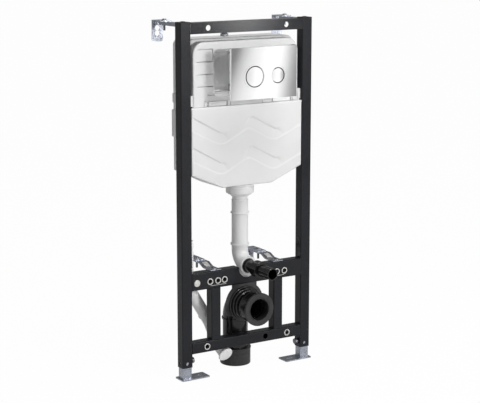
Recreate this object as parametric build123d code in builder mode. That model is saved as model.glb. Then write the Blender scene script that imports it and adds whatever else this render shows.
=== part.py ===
from build123d import *
import math
import os

# Wall hung toilet frame with a concealed cistern. Millimetres, +X to the right, +Y to the wall, +Z up.
# The sizes below are counted from the middle of the frame in X, from the front of the uprights
# in Y and from the floor in Z. The origin of the finished part is the wall face of the upper left
# wall plate, so every plane is moved there by spot().

# Steel frame
frame_width = 500.0
post_width = 38.0
post_depth = 36.0
post_length = 1122.0
tube_wall = 2.0
tube_corner = 4.0
leg_gap = 41.0
top_rail_height = 35.5
top_rail_drop = 1.0
rail_sheet = 2.5
fixing_rail_height = 58.0
bottom_rail_height = 38.0
strut_width = 35.0
strut_centre_x = 121.5

# Heights above the floor
stud_height = 321.0
flush_above_studs = 36.0
waste_below_studs = 99.0
bottom_rail_z = 103.0

# Holes and threaded inserts
stud_x = (90.0, 115.0, 145.0)
lower_insert_in = 55.0
insert_flange_radius = 11.0
insert_flange_depth = 1.5
insert_barrel_radius = 7.5
insert_length = 17.0
insert_bore_radius = 5.1
fixing_rail_above_studs = 33.5
plug_in = 18.0
plug_hole_radius = 9.0
plug_rim = 2.2
plug_depth = 6.0
side_hole_x = 70.5
side_hole_radius = 9.5
top_hole_in = 64.0
top_hole_radius = 9.0
post_hole_rise = 14.0
post_hole_radius = 5.5
seat_fit = 0.05

# Post caps
cap_height = 2.0
cap_bump_radius = 7.0
cap_bump_height = 2.0

# Telescopic legs
leg_play = 0.6
leg_wall = 2.5
leg_overlap = 140.0
leg_travel = 160.0
foot_length = 104.0
foot_depth = 52.0
foot_thickness = 4.0
foot_overhang = 4.5
foot_corner = 6.0
foot_slot_length = 24.0
foot_slot_width = 9.0
foot_slot_in = 51.0
clamp_rise = 19.0
clamp_shank_radius = 4.0
clamp_knob_radius = 10.0
clamp_knob_length = 9.0
clamp_washer_radius = 8.5
clamp_washer_length = 4.0
tip_gap = 0.3

# Wall brackets
wall_distance = 184.5
bracket_sheet = 3.0
top_plate_width = 40.0
top_plate_height = 70.0
top_flange_length = 62.0
top_arm_width = 26.0
top_arm_height = 11.0
top_arm_length = 150.0
top_bolt_y = 136.0
keyhole_radius = 9.0
keyhole_spread = 17.0
low_plate_hole_radius = 5.0
low_plate_hole_drop = 5.0
low_plate_width = 34.0
low_plate_height = 63.0
low_flange_length = 82.0
low_arm_width = 40.0
low_arm_rise = 11.0
low_arm_front_length = 50.0
low_arm_ramp = 26.0
low_arm_rear_length = 76.0
low_arm_set_in = 3.0
low_bolt_y = 126.0
bracket_bolt_radius = 4.0
bracket_head_radius = 7.5
bracket_head_height = 5.5
bracket_bolt_length = 32.0
bracket_nut_height = 6.5
bracket_slot_width = 8.6
depth_travel = 20.0
slot_margin = 2.0

# Cistern
tank_side_gap = 12.0
tank_back = 143.0
tank_top_drop = 57.0
tank_corner = 24.0
hood_front = 9.0
hood_depth = 34.0
hood_top_drop = 6.0
hood_height = 207.0
hood_corner = 42.0
panel_depth = 60.0
panel_side_gap = 0.5
panel_height = 267.0
panel_side_height = 218.0
panel_low_half = 95.0
panel_edge_radius = 5.0
lug_height = 38.0
lug_depth = 26.0
opening_half_width = 112.0
opening_top_drop = 32.0
opening_height = 138.0
opening_depth = 62.0
service_wall = 2.5
service_back = 3.0
part_gap = 0.3
side_grip_drop = 107.0
side_grip_height = 90.0
side_grip_depth = 30.0
side_grip_out = 9.0
side_grip_back = 12.0
inlet_x = 22.0
inlet_y = 110.0
inlet_radius = 15.0
inlet_height = 8.0
inlet_thread_radius = 10.0
inlet_thread_height = 10.0
inlet_bore = 7.0

# Flush plate and buttons
plate_width = 246.0
plate_height = 165.0
plate_above_opening = 4.5
plate_front = 99.0
plate_thickness = 13.0
plate_sheet = 3.0
plate_corner = 3.0
button_drop = 10.5
full_button_x = -36.5
full_button_radius = 32.0
half_button_x = 50.0
half_button_radius = 23.4
button_clearance = 0.8
button_travel = 6.0
button_thickness = 5.0
rod_radius = 4.0
rod_clearance = 0.3
carrier_width = 210.0
carrier_height = 132.0
carrier_thickness = 6.0
carrier_bar = 22.0
carrier_hole_gap = 2.0
guide_height = 14.0
guide_thickness = 6.0
guide_clearance = 5.0
stay_x = 28.0
stay_z = 52.0
stay_radius = 4.0
rod_end = 52.0

# Flush pipe
pipe_y = 50.0
pipe_radius = 27.3
pipe_wall = 2.6
pipe_ring_radius = 31.0
pipe_ring_height = 5.0
pipe_ring_share = 0.6375
nut_radius = 46.5
nut_height = 42.0
nut_taper = 12.0
elbow_bend = 48.0
elbow_straight = 19.0
elbow_front = 4.0
elbow_rim_radius = 31.0
elbow_rim_length = 9.0
notch_half_width = 34.0
notch_drop = 41.0
saddle_width = 26.0
saddle_set_in = 5.5
connector_radius = 20.0
connector_wall = 3.5
connector_collar_radius = 28.0
connector_collar_y = -52.0
connector_collar_length = 32.0
connector_front = 149.0
connector_inside = 20.0
flush_seal_length = 5.5

# Waste
waste_y = 79.0
waste_radius = 42.5
waste_wall = 3.5
waste_bend = 54.0
waste_end = 24.0
socket_radius = 50.0
socket_length = 42.0
socket_front = 66.0
band_radius = 46.0
band_height = 6.0
band_drop = 4.0
seal_radius = 55.5
seal_length = 22.0
seal_bore = 36.0
seal_lip = 6.5
adaptor_radius = 51.5
adaptor_wall = 3.5
adaptor_low = 4.0
adaptor_high = 62.0
adaptor_lip = 1.5
adaptor_lip_height = 6.0
adaptor_shoulder = 8.0
holder_y = 20.0
holder_thickness = 4.0
holder_neck_half = 48.0
holder_ring_radius = 74.0
holder_drop = 36.0

# Empty conduit
conduit_radius = 20.0
conduit_wall = 2.5
conduit_play = 0.3
conduit_in = 25.0
conduit_gap = 20.0
conduit_rise = 127.0
conduit_first_drop = 25.0
conduit_second_x = 104.0
conduit_second_drop = 61.0
conduit_turn = (74.0, 70.0)
conduit_turn_drop = 24.0
conduit_end_spot = (71.0, 27.0)
conduit_end_drop = 47.5
conduit_bends = (60.0, 90.0, 24.0)
conduit_cap_radius = 22.0
conduit_cap_length = 4.0
clip_width = 14.0
clip_wall = 3.0
upper_clip_rise = 9.0
lower_clip_drop = 33.0

# Values that follow from the sizes above
half_width = frame_width / 2
inner_half = half_width - post_width
post_x = half_width - post_width / 2
post_top = leg_gap + post_length
top_rail_top = post_top - top_rail_drop
top_rail_low = top_rail_top - top_rail_height
flush_height = stud_height + flush_above_studs
waste_height = stud_height - waste_below_studs
fixing_top = stud_height + fixing_rail_above_studs
fixing_low = fixing_top - fixing_rail_height
bottom_rail_top = bottom_rail_z + bottom_rail_height / 2
leg_width = post_width - 2 * tube_wall - 2 * leg_play
leg_depth = post_depth - 2 * tube_wall - 2 * leg_play
tube_middle = post_depth / 2
top_plate_centre = post_top - top_plate_height / 2
lower_insert_x = inner_half - lower_insert_in
plug_x = inner_half - plug_in
top_hole_x = inner_half - top_hole_in
post_hole_height = leg_gap + post_hole_rise
clamp_height = leg_gap + clamp_rise
foot_slot_x = post_x - foot_slot_in
tank_half_width = inner_half - tank_side_gap
tank_top = post_top - tank_top_drop
hood_top = tank_top - hood_top_drop
hood_bottom = hood_top - hood_height
panel_low = hood_bottom - panel_height
panel_shoulder = hood_bottom - panel_side_height
opening_high = hood_top - opening_top_drop
opening_centre = opening_high - opening_height / 2
side_grip_low = hood_bottom - side_grip_drop
plate_centre_height = opening_centre + plate_above_opening
button_height = plate_centre_height - button_drop
nut_low = panel_low - nut_height
elbow_top = flush_height + elbow_bend
pipe_joint_z = elbow_top + elbow_straight
pipe_ring_z = pipe_joint_z + pipe_ring_share * (nut_low - pipe_joint_z)
notch_bottom = flush_height - notch_drop
band_z = waste_height - waste_bend - band_drop
holder_foot = waste_height - holder_drop
conduit_x = conduit_in - inner_half
conduit_y = post_depth + conduit_gap + conduit_radius
conduit_points = ((conduit_x, conduit_y, stud_height + conduit_rise),
                  (conduit_x, conduit_y, stud_height - conduit_first_drop),
                  (-conduit_second_x, conduit_y, waste_height - conduit_second_drop),
                  (-conduit_turn[0], conduit_turn[1], bottom_rail_z - conduit_turn_drop),
                  (-conduit_end_spot[0], conduit_end_spot[1], bottom_rail_z - conduit_end_drop))
upper_clip_height = stud_height + upper_clip_rise
lower_clip_height = waste_height - lower_clip_drop


def spot(x, y, z):
    return (post_x + x, y - wall_distance, z - top_plate_centre)


def facing_front(x, y, z):
    return Plane(origin=spot(x, y, z), x_dir=(1, 0, 0), z_dir=(0, -1, 0))


def facing_up(x, y, z):
    return Plane(origin=spot(x, y, z), x_dir=(1, 0, 0), z_dir=(0, 0, 1))


def facing_right(x, y, z):
    return Plane(origin=spot(x, y, z), x_dir=(0, 1, 0), z_dir=(1, 0, 0))


os.makedirs("parts", exist_ok=True)


def keep(piece, name):
    piece.part.label = name
    export_step(piece.part, f"parts/{name}.step")


# Uprights

def upright(side):
    with BuildPart() as post:
        with BuildSketch(facing_up(side * post_x, tube_middle, leg_gap)):
            RectangleRounded(post_width, post_depth, tube_corner)
            RectangleRounded(post_width - 2 * tube_wall, post_depth - 2 * tube_wall,
                             tube_corner - tube_wall, mode=Mode.SUBTRACT)
        extrude(amount=post_length)
        with BuildSketch(facing_front(side * post_x, 0, post_hole_height)):
            Circle(post_hole_radius)
        extrude(amount=-2 * tube_wall, mode=Mode.SUBTRACT)
        with BuildSketch(facing_right(side * half_width, tube_middle, post_hole_height)):
            Circle(post_hole_radius)
        extrude(amount=-side * 2 * tube_wall, mode=Mode.SUBTRACT)
        with BuildSketch(facing_right(side * inner_half, tube_middle, clamp_height)):
            Circle(clamp_shank_radius + seat_fit)
        extrude(amount=side * 2 * tube_wall, mode=Mode.SUBTRACT)
        with BuildSketch(facing_front(side * post_x, post_depth, top_arm_middle)):
            Rectangle(top_arm_width + 2 * seat_fit, top_arm_height + 2 * seat_fit)
        extrude(amount=2 * tube_wall, mode=Mode.SUBTRACT)
    return post


top_arm_top = post_top - bracket_sheet
top_arm_middle = top_arm_top - top_arm_height / 2
for side, word in ((-1, "left"), (1, "right")):
    keep(upright(side), f"{word}_upright")

with BuildPart() as post_caps:
    for side in (-1, 1):
        with BuildSketch(facing_up(side * post_x, tube_middle, post_top)):
            RectangleRounded(post_width, post_depth, tube_corner)
        extrude(amount=cap_height)
        with BuildSketch(facing_up(side * post_x, tube_middle, post_top + cap_height)):
            Circle(cap_bump_radius)
        extrude(amount=cap_bump_height)
        with BuildSketch(facing_up(side * post_x, tube_middle, post_top)):
            RectangleRounded(post_width - 2 * tube_wall - 2 * seat_fit,
                             post_depth - 2 * tube_wall - 2 * seat_fit, tube_corner - tube_wall)
        extrude(amount=-bracket_sheet + seat_fit)
keep(post_caps, "post_caps")

# Rails and struts

with BuildPart() as top_rail:
    with BuildSketch(facing_right(-inner_half, tube_middle, (top_rail_top + top_rail_low) / 2)):
        Rectangle(post_depth, top_rail_height)
        with Locations((rail_sheet, 0)):
            Rectangle(post_depth, top_rail_height - 2 * rail_sheet, mode=Mode.SUBTRACT)
    extrude(amount=2 * inner_half)
    with BuildSketch(facing_front(0, 0, (top_rail_top + top_rail_low) / 2)):
        with Locations((-top_hole_x, 0), (top_hole_x, 0)):
            Circle(top_hole_radius)
    extrude(amount=-2 * rail_sheet, mode=Mode.SUBTRACT)
keep(top_rail, "top_rail")

with BuildPart() as fixing_rail:
    with BuildSketch(facing_right(-inner_half, tube_middle, (fixing_top + fixing_low) / 2)):
        RectangleRounded(post_depth, fixing_rail_height, tube_corner)
        RectangleRounded(post_depth - 2 * tube_wall, fixing_rail_height - 2 * tube_wall,
                         tube_corner - tube_wall, mode=Mode.SUBTRACT)
    extrude(amount=2 * inner_half)
    with BuildSketch(facing_front(0, 0, notch_bottom + notch_half_width)):
        Circle(notch_half_width)
        with Locations((0, notch_half_width)):
            Rectangle(2 * notch_half_width, 2 * notch_half_width)
    extrude(amount=-post_depth, mode=Mode.SUBTRACT)
    with BuildSketch(facing_front(0, 0, stud_height)):
        with Locations([(side * x, 0) for side in (-1, 1) for x in stud_x]):
            Circle(insert_barrel_radius + seat_fit)
        with Locations((-plug_x, 0)):
            Circle(plug_hole_radius)
    extrude(amount=-2 * tube_wall, mode=Mode.SUBTRACT)
keep(fixing_rail, "fixing_rail")

with BuildPart() as bottom_rail:
    with BuildSketch(facing_right(-inner_half, tube_middle, bottom_rail_z)):
        RectangleRounded(post_depth, bottom_rail_height, tube_corner)
        RectangleRounded(post_depth - 2 * tube_wall, bottom_rail_height - 2 * tube_wall,
                         tube_corner - tube_wall, mode=Mode.SUBTRACT)
    extrude(amount=2 * inner_half)
    with BuildSketch(facing_front(0, 0, bottom_rail_z)):
        with Locations((-lower_insert_x, 0), (lower_insert_x, 0)):
            Circle(insert_barrel_radius + seat_fit)
        with Locations((side_hole_x, 0)):
            Circle(side_hole_radius)
    extrude(amount=-2 * tube_wall, mode=Mode.SUBTRACT)
keep(bottom_rail, "bottom_rail")

for side, word in ((-1, "left"), (1, "right")):
    with BuildPart() as strut:
        with BuildSketch(facing_up(side * strut_centre_x, tube_middle, bottom_rail_top)):
            RectangleRounded(strut_width, post_depth, tube_corner)
            RectangleRounded(strut_width - 2 * tube_wall, post_depth - 2 * tube_wall,
                             tube_corner - tube_wall, mode=Mode.SUBTRACT)
        extrude(amount=fixing_low - bottom_rail_top)
    keep(strut, f"{word}_strut")


insert_spots = [(side * x, stud_height) for side in (-1, 1) for x in stud_x]
insert_spots += [(side * lower_insert_x, bottom_rail_z) for side in (-1, 1)]
with BuildPart() as threaded_inserts:
    with BuildSketch(facing_front(0, 0, 0)):
        with Locations(insert_spots):
            Circle(insert_flange_radius)
            Circle(insert_bore_radius, mode=Mode.SUBTRACT)
    extrude(amount=insert_flange_depth)
    with BuildSketch(facing_front(0, 0, 0)):
        with Locations(insert_spots):
            Circle(insert_barrel_radius)
            Circle(insert_bore_radius, mode=Mode.SUBTRACT)
    extrude(amount=-insert_length)
keep(threaded_inserts, "threaded_inserts")

with BuildPart() as rail_plug:
    with BuildSketch(facing_front(-plug_x, 0, stud_height)):
        Circle(plug_hole_radius + plug_rim)
    extrude(amount=insert_flange_depth)
    with BuildSketch(facing_front(-plug_x, 0, stud_height)):
        Circle(plug_hole_radius - seat_fit)
    extrude(amount=-plug_depth)
keep(rail_plug, "rail_plug")

# Telescopic legs

for side, word in ((-1, "left"), (1, "right")):
    foot_outer = half_width + foot_overhang
    foot_middle = foot_outer - foot_length / 2
    with BuildPart() as leg:
        with BuildSketch(facing_up(side * foot_middle, tube_middle, 0)):
            RectangleRounded(foot_length, foot_depth, foot_corner)
            with Locations((side * (foot_slot_x - foot_middle), 0)):
                SlotOverall(foot_slot_length, foot_slot_width, mode=Mode.SUBTRACT)
        extrude(amount=foot_thickness)
        with BuildSketch(facing_up(side * post_x, tube_middle, foot_thickness)):
            RectangleRounded(leg_width, leg_depth, tube_corner - tube_wall)
            RectangleRounded(leg_width - 2 * leg_wall, leg_depth - 2 * leg_wall,
                             tube_corner - leg_wall, mode=Mode.SUBTRACT)
        extrude(amount=leg_gap - foot_thickness + leg_travel + leg_overlap)
    keep(leg, f"{word}_leg")

with BuildPart() as leg_clamp_bolts:
    for side in (-1, 1):
        inward = -side
        with BuildSketch(facing_right(side * inner_half, tube_middle, clamp_height)):
            Circle(clamp_washer_radius)
        extrude(amount=inward * clamp_washer_length)
        knob_x = side * (inner_half - clamp_washer_length)
        with BuildSketch(facing_right(knob_x, tube_middle, clamp_height)):
            Circle(clamp_knob_radius)
        extrude(amount=inward * clamp_knob_length)
        with BuildSketch(facing_right(side * inner_half, tube_middle, clamp_height)):
            Circle(clamp_shank_radius)
        extrude(amount=side * (tube_wall + leg_play - tip_gap))
keep(leg_clamp_bolts, "leg_clamp_bolts")

# Wall brackets

def wall_plate(x, top, width, height, flange, bolt_y, hole_radius, holes):
    with BuildPart() as plate:
        with BuildSketch(facing_front(x, wall_distance, top - height / 2)):
            Rectangle(width, height)
            with Locations([(0, z) for z in holes]):
                Circle(hole_radius, mode=Mode.SUBTRACT)
        extrude(amount=bracket_sheet)
        fillet(plate.edges().filter_by(Axis.Y).group_by(Axis.Z)[0], width / 5)
        with BuildSketch(facing_up(x, wall_distance - flange / 2, top - bracket_sheet)):
            Rectangle(width, flange)
            with Locations((0, bolt_y + depth_travel / 2 - wall_distance + flange / 2)):
                SlotOverall(depth_travel + bracket_slot_width + 2 * slot_margin,
                            bracket_slot_width, rotation=90, mode=Mode.SUBTRACT)
        extrude(amount=bracket_sheet)
    return plate


low_arm_top = fixing_top + low_arm_rise + bracket_sheet
low_plate_top = low_arm_top + bracket_sheet
for side, word in ((-1, "left"), (1, "right")):
    top_plate = wall_plate(side * post_x, post_top, top_plate_width, top_plate_height,
                           top_flange_length, top_bolt_y, keyhole_radius,
                           (-keyhole_spread / 2, keyhole_spread / 2))
    keep(top_plate, f"{word}_upper_wall_plate")
    low_plate = wall_plate(side * strut_centre_x, low_plate_top, low_plate_width,
                           low_plate_height, low_flange_length, low_bolt_y,
                           low_plate_hole_radius, (-low_plate_hole_drop,))
    keep(low_plate, f"{word}_lower_wall_plate")

for side, word in ((-1, "left"), (1, "right")):
    with BuildPart() as top_arm:
        with BuildSketch(facing_front(side * post_x, post_depth - tube_wall, top_arm_middle)):
            Rectangle(top_arm_width, top_arm_height)
            with Locations((0, -bracket_sheet)):
                Rectangle(top_arm_width - 2 * bracket_sheet, top_arm_height, mode=Mode.SUBTRACT)
        extrude(amount=-(top_arm_length - post_depth + tube_wall))
        with BuildSketch(facing_up(side * post_x, top_bolt_y, top_arm_top)):
            Circle(bracket_bolt_radius + seat_fit)
        extrude(amount=-bracket_sheet, mode=Mode.SUBTRACT)
    keep(top_arm, f"{word}_upper_arm")

low_arm_ramp_start = low_arm_set_in + low_arm_front_length
low_arm_ramp_end = low_arm_ramp_start + low_arm_ramp
low_arm_end = low_arm_ramp_end + low_arm_rear_length
for side, word in ((-1, "left"), (1, "right")):
    with BuildPart() as low_arm:
        with BuildSketch(facing_right(side * strut_centre_x, 0, fixing_top)):
            with BuildLine():
                Polyline((low_arm_set_in, 0), (low_arm_ramp_start, 0),
                         (low_arm_ramp_end, low_arm_rise), (low_arm_end, low_arm_rise),
                         (low_arm_end, low_arm_rise + bracket_sheet),
                         (low_arm_ramp_end, low_arm_rise + bracket_sheet),
                         (low_arm_ramp_start, bracket_sheet), (low_arm_set_in, bracket_sheet),
                         close=True)
            make_face()
        extrude(amount=low_arm_width / 2, both=True)
        with BuildSketch(facing_up(side * strut_centre_x, low_bolt_y, low_arm_top)):
            Circle(bracket_bolt_radius + seat_fit)
        extrude(amount=-bracket_sheet, mode=Mode.SUBTRACT)
        with BuildSketch(facing_up(side * strut_centre_x, tube_middle, fixing_top)):
            Circle(bracket_bolt_radius + seat_fit)
        extrude(amount=bracket_sheet, mode=Mode.SUBTRACT)
    keep(low_arm, f"{word}_lower_arm")


bolt_spots = [(side * post_x, top_bolt_y, post_top) for side in (-1, 1)]
bolt_spots += [(side * strut_centre_x, low_bolt_y, low_plate_top) for side in (-1, 1)]
with BuildPart() as bracket_bolts:
    for x, y, top in bolt_spots:
        with BuildSketch(facing_up(x, y, top)):
            RegularPolygon(bracket_head_radius, 6)
        extrude(amount=bracket_head_height)
        with BuildSketch(facing_up(x, y, top)):
            Circle(bracket_bolt_radius)
        extrude(amount=-bracket_bolt_length)
        with BuildSketch(facing_up(x, y, top - 2 * bracket_sheet)):
            RegularPolygon(bracket_head_radius, 6)
        extrude(amount=-bracket_nut_height)
    with BuildSketch(facing_up(0, tube_middle, fixing_top + bracket_sheet)):
        with Locations((-strut_centre_x, 0), (strut_centre_x, 0)):
            RegularPolygon(bracket_head_radius, 6)
    extrude(amount=bracket_head_height)
    with BuildSketch(facing_up(0, tube_middle, fixing_top + bracket_sheet)):
        with Locations((-strut_centre_x, 0), (strut_centre_x, 0)):
            Circle(bracket_bolt_radius)
    extrude(amount=-bracket_sheet)
keep(bracket_bolts, "bracket_bolts")

# Cistern

panel_half = inner_half - panel_side_gap
with BuildPart() as tank:
    with BuildSketch(facing_front(0, tank_back, 0)) as tank_outline:
        with BuildLine():
            Polyline((-panel_low_half, panel_low), (panel_low_half, panel_low),
                     (tank_half_width, panel_shoulder), (tank_half_width, tank_top),
                     (-tank_half_width, tank_top), (-tank_half_width, panel_shoulder), close=True)
        make_face()
        fillet(tank_outline.vertices().group_by(Axis.Y)[-1], tank_corner)
    extrude(amount=tank_back - hood_front - hood_depth)
    with BuildSketch(facing_front(0, panel_depth, (panel_low + hood_bottom) / 2)):
        Rectangle(2 * tank_half_width, hood_bottom - panel_low)
    extrude(amount=panel_depth, mode=Mode.SUBTRACT)
    with BuildSketch(facing_front(0, hood_front, opening_centre)):
        Rectangle(2 * opening_half_width, opening_height)
    extrude(amount=-opening_depth, mode=Mode.SUBTRACT)
    with BuildSketch(facing_up(-inlet_x, inlet_y, tank_top)):
        Circle(inlet_thread_radius + part_gap)
    extrude(amount=-inlet_thread_height, mode=Mode.SUBTRACT)
keep(tank, "tank")

with BuildPart() as hood:
    with BuildSketch(facing_front(0, hood_front + hood_depth, (hood_bottom + hood_top) / 2)):
        Rectangle(2 * tank_half_width, hood_height)
    extrude(amount=hood_depth)
    fillet(hood.edges().filter_by(Axis.Y).group_by(Axis.Z)[-1], hood_corner)
    fillet(hood.faces().sort_by(Axis.Y)[0].edges().group_by(Axis.Z)[1:], panel_edge_radius)
    with BuildSketch(facing_front(0, hood_front, opening_centre)):
        Rectangle(2 * opening_half_width, opening_height)
    extrude(amount=-hood_depth, mode=Mode.SUBTRACT)
keep(hood, "cistern_hood")

with BuildPart() as front_panel:
    with BuildSketch(facing_front(0, panel_depth - part_gap, 0)):
        with BuildLine():
            Polyline((-panel_low_half, panel_low), (panel_low_half, panel_low),
                     (panel_half, panel_shoulder), (panel_half, hood_bottom),
                     (-panel_half, hood_bottom), (-panel_half, panel_shoulder), close=True)
        make_face()
    extrude(amount=panel_depth - part_gap)
    with BuildSketch(facing_front(0, post_depth, hood_bottom + lug_height / 2)):
        with Locations([(side * (tank_half_width + panel_half) / 2, 0) for side in (-1, 1)]):
            Rectangle(panel_half - tank_half_width, lug_height)
    extrude(amount=lug_depth)
keep(front_panel, "cistern_front")

# Service opening, flush plate and buttons

box_half = opening_half_width - part_gap
box_height = opening_height - 2 * part_gap
box_back = hood_front + opening_depth - part_gap
with BuildPart() as service_box:
    with BuildSketch(facing_front(0, box_back, opening_centre)):
        Rectangle(2 * box_half, box_height)
    extrude(amount=box_back - hood_front)
    with BuildSketch(facing_front(0, hood_front, opening_centre)):
        Rectangle(2 * (box_half - service_wall), box_height - 2 * service_wall)
    extrude(amount=-(box_back - hood_front - service_back), mode=Mode.SUBTRACT)
keep(service_box, "service_box")

carrier_back = plate_sheet - plate_front + carrier_thickness
guide_back = button_thickness - plate_front + button_travel + guide_clearance + guide_thickness
with BuildPart() as flush_plate:
    with BuildSketch(facing_front(0, plate_thickness - plate_front, plate_centre_height)):
        RectangleRounded(plate_width, plate_height, plate_corner)
    extrude(amount=plate_thickness)
    with BuildSketch(facing_front(0, plate_thickness - plate_front, plate_centre_height)):
        Rectangle(plate_width - 2 * plate_sheet, plate_height - 2 * plate_sheet)
    extrude(amount=plate_thickness - plate_sheet, mode=Mode.SUBTRACT)
    with BuildSketch(facing_front(0, -plate_front, button_height)):
        with Locations((full_button_x, 0)):
            Circle(full_button_radius)
        with Locations((half_button_x, 0)):
            Circle(half_button_radius)
    extrude(amount=-plate_sheet, mode=Mode.SUBTRACT)
keep(flush_plate, "flush_plate")

with BuildPart() as plate_carrier:
    with BuildSketch(facing_front(0, carrier_back, plate_centre_height)):
        Rectangle(carrier_width, carrier_height)
        with Locations((full_button_x, button_height - plate_centre_height)):
            Circle(full_button_radius + carrier_hole_gap, mode=Mode.SUBTRACT)
        with Locations((half_button_x, button_height - plate_centre_height)):
            Circle(half_button_radius + carrier_hole_gap, mode=Mode.SUBTRACT)
    extrude(amount=carrier_thickness)
    with BuildSketch(facing_front(0, carrier_back, button_height)):
        with Locations([(side * (carrier_width - carrier_bar) / 2, 0) for side in (-1, 1)]):
            Rectangle(carrier_bar, guide_height)
    extrude(amount=carrier_back - guide_back)
    with BuildSketch(facing_front(0, guide_back, button_height)):
        Rectangle(carrier_width, guide_height)
        with Locations((full_button_x, 0), (half_button_x, 0)):
            Circle(rod_radius + rod_clearance, mode=Mode.SUBTRACT)
    extrude(amount=guide_thickness)
keep(plate_carrier, "plate_carrier")

with BuildPart() as plate_stays:
    with BuildSketch(facing_front(0, carrier_back, plate_centre_height)):
        with GridLocations(2 * stay_x, 2 * stay_z, 2, 2):
            Circle(stay_radius)
    extrude(amount=-(box_back - service_back - carrier_back))
keep(plate_stays, "plate_stays")

for word, x, radius in (("full", full_button_x, full_button_radius),
                        ("half", half_button_x, half_button_radius)):
    with BuildPart() as button:
        with BuildSketch(facing_front(x, -plate_front, button_height)):
            Circle(radius - button_clearance)
        extrude(amount=-button_thickness)
        with BuildSketch(facing_front(x, button_thickness - plate_front, button_height)):
            Circle(rod_radius)
        extrude(amount=-(rod_end + plate_front - button_thickness))
    keep(button, f"{word}_flush_button")

with BuildPart() as inlet_fitting:
    with BuildSketch(facing_up(-inlet_x, inlet_y, tank_top)):
        RegularPolygon(inlet_radius, 6)
    extrude(amount=inlet_height)
    with BuildSketch(facing_up(-inlet_x, inlet_y, tank_top + inlet_height)):
        Circle(inlet_thread_radius)
    extrude(amount=inlet_thread_height)
    with BuildSketch(facing_up(-inlet_x, inlet_y, tank_top)):
        Circle(inlet_thread_radius)
    extrude(amount=-inlet_thread_height)
    with BuildSketch(facing_up(-inlet_x, inlet_y, tank_top + inlet_height + inlet_thread_height)):
        Circle(inlet_bore)
    extrude(amount=-(inlet_height + 2 * inlet_thread_height), mode=Mode.SUBTRACT)
keep(inlet_fitting, "inlet_fitting")

# Flush pipe

def ring(outer, inner):
    Circle(outer)
    Circle(inner, mode=Mode.SUBTRACT)


with BuildPart() as outlet_nut:
    with BuildSketch(facing_up(0, pipe_y, nut_low)):
        ring(nut_radius, pipe_radius + part_gap)
    extrude(amount=nut_height)
    chamfer(outlet_nut.faces().sort_by(Axis.Z)[0].edges().sort_by(SortBy.RADIUS)[-1], nut_taper)
keep(outlet_nut, "outlet_nut")

with BuildPart() as flush_pipe:
    with BuildSketch(facing_up(0, pipe_y, pipe_joint_z)):
        ring(pipe_radius, pipe_radius - pipe_wall)
    extrude(amount=panel_low - pipe_joint_z)
    with BuildSketch(facing_up(0, pipe_y, pipe_ring_z)):
        ring(pipe_ring_radius, pipe_radius)
    extrude(amount=pipe_ring_height)
keep(flush_pipe, "flush_pipe")

elbow_back = pipe_y - elbow_bend
with BuildPart() as flush_elbow:
    with BuildLine() as elbow_route:
        drop = Line(spot(0, pipe_y, pipe_joint_z), spot(0, pipe_y, elbow_top))
        bend = TangentArc(spot(0, pipe_y, elbow_top), spot(0, elbow_back, flush_height),
                          tangent=(0, 0, -1))
        Line(spot(0, elbow_back, flush_height), spot(0, -elbow_front, flush_height))
    with BuildSketch(facing_up(0, pipe_y, pipe_joint_z)):
        ring(pipe_radius, pipe_radius - pipe_wall)
    sweep(path=elbow_route.line)
    with BuildSketch(facing_up(0, pipe_y, pipe_joint_z)):
        ring(pipe_ring_radius, pipe_radius)
    extrude(amount=-pipe_ring_height)
    with BuildSketch(facing_front(0, -elbow_front, flush_height)):
        ring(elbow_rim_radius, pipe_radius)
    extrude(amount=-elbow_rim_length)
keep(flush_elbow, "flush_elbow")

with BuildPart() as pipe_saddle:
    with BuildSketch(facing_front(0, saddle_set_in, notch_bottom + notch_half_width)):
        Circle(notch_half_width - seat_fit)
        with Locations((0, notch_half_width)):
            Rectangle(2 * (notch_half_width - seat_fit), 2 * notch_half_width, mode=Mode.SUBTRACT)
        with Locations((0, flush_height - notch_bottom - notch_half_width)):
            Circle(pipe_radius + part_gap, mode=Mode.SUBTRACT)
    extrude(amount=-saddle_width)
keep(pipe_saddle, "pipe_saddle")

with BuildPart() as flush_connector:
    with BuildSketch(facing_front(0, connector_inside - elbow_front, flush_height)):
        ring(connector_radius, connector_radius - connector_wall)
    extrude(amount=connector_front + connector_inside - elbow_front)
    with BuildSketch(facing_front(0, connector_collar_y, flush_height)):
        ring(connector_collar_radius, connector_radius)
    extrude(amount=connector_collar_length)
keep(flush_connector, "flush_connector")

with BuildPart() as flush_seal:
    with BuildSketch(facing_front(0, -elbow_front, flush_height)):
        ring(pipe_radius - pipe_wall - seat_fit, connector_radius + seat_fit)
    extrude(amount=-flush_seal_length)
keep(flush_seal, "flush_seal")

# Waste

waste_level = waste_y - waste_bend
with BuildPart() as waste_elbow:
    with BuildLine() as waste_route:
        Line(spot(0, waste_y, waste_end), spot(0, waste_y, waste_height - waste_bend))
        TangentArc(spot(0, waste_y, waste_height - waste_bend), spot(0, waste_level, waste_height),
                   tangent=(0, 0, 1))
        Line(spot(0, waste_level, waste_height), spot(0, socket_length - socket_front, waste_height))
    with BuildSketch(facing_up(0, waste_y, waste_end)):
        ring(waste_radius, waste_radius - waste_wall)
    sweep(path=waste_route.line)
    with BuildSketch(facing_front(0, socket_length - socket_front, waste_height)):
        ring(socket_radius, waste_radius - waste_wall)
    extrude(amount=waste_wall)
    with BuildSketch(facing_front(0, socket_length - socket_front, waste_height)):
        ring(socket_radius, socket_radius - waste_wall)
    extrude(amount=socket_length)
    with BuildSketch(facing_up(0, waste_y, band_z)):
        ring(band_radius, waste_radius)
    extrude(amount=-band_height)
keep(waste_elbow, "waste_elbow")

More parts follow.
